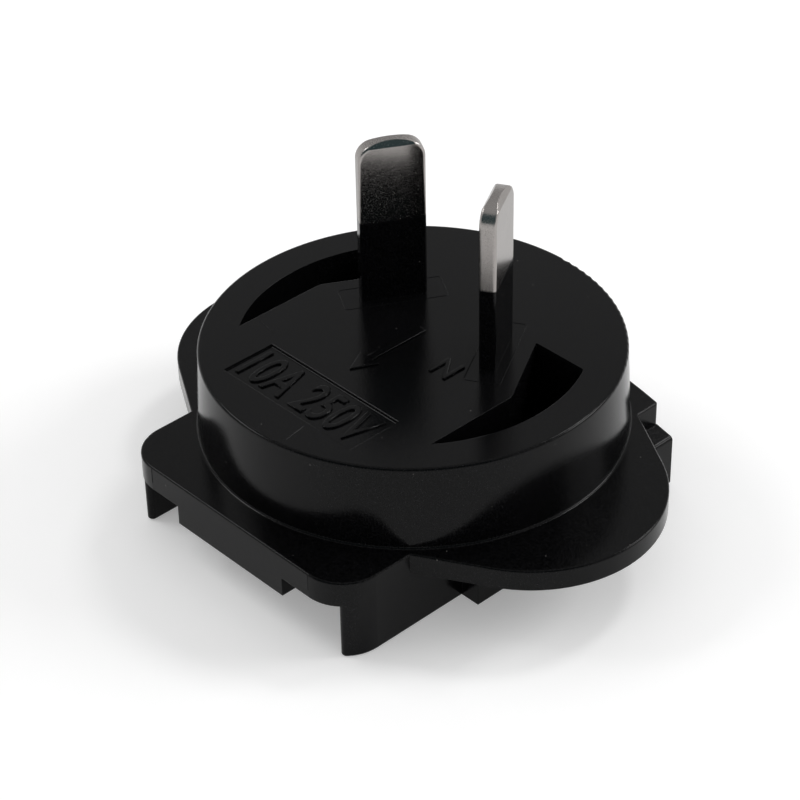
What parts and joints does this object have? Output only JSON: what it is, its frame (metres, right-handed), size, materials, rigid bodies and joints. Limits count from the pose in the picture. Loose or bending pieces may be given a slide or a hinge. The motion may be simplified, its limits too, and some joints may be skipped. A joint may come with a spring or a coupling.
{
  "type": "interchangeable plug clip",
  "caption": "Slide-on mains plug clip: round moulded boss on a winged flange with guide rails, and angled flat pins with insulating sleeves.",
  "frame": {"origin": "centre of the plug face, on the boss's axis", "axes": "+Z along the pins away from the plug face, +Y along the slide axis away from the front wall, +X across the wings"},
  "size_m": [0.0554, 0.0436, 0.0337],
  "materials": {
    "housing_plastic": "satin black moulding with a fine spark texture on its flat faces",
    "sleeve_plastic": "smooth gloss black",
    "plated_blade": "bright nickel plate on brass"
  },
  "bodies": {
    "root": {"housing": "housing_plastic", "pin_left": "plated_blade", "pin_right": "plated_blade", "sleeve_left": "sleeve_plastic", "sleeve_right": "sleeve_plastic"}
  },
  "joints": []
}
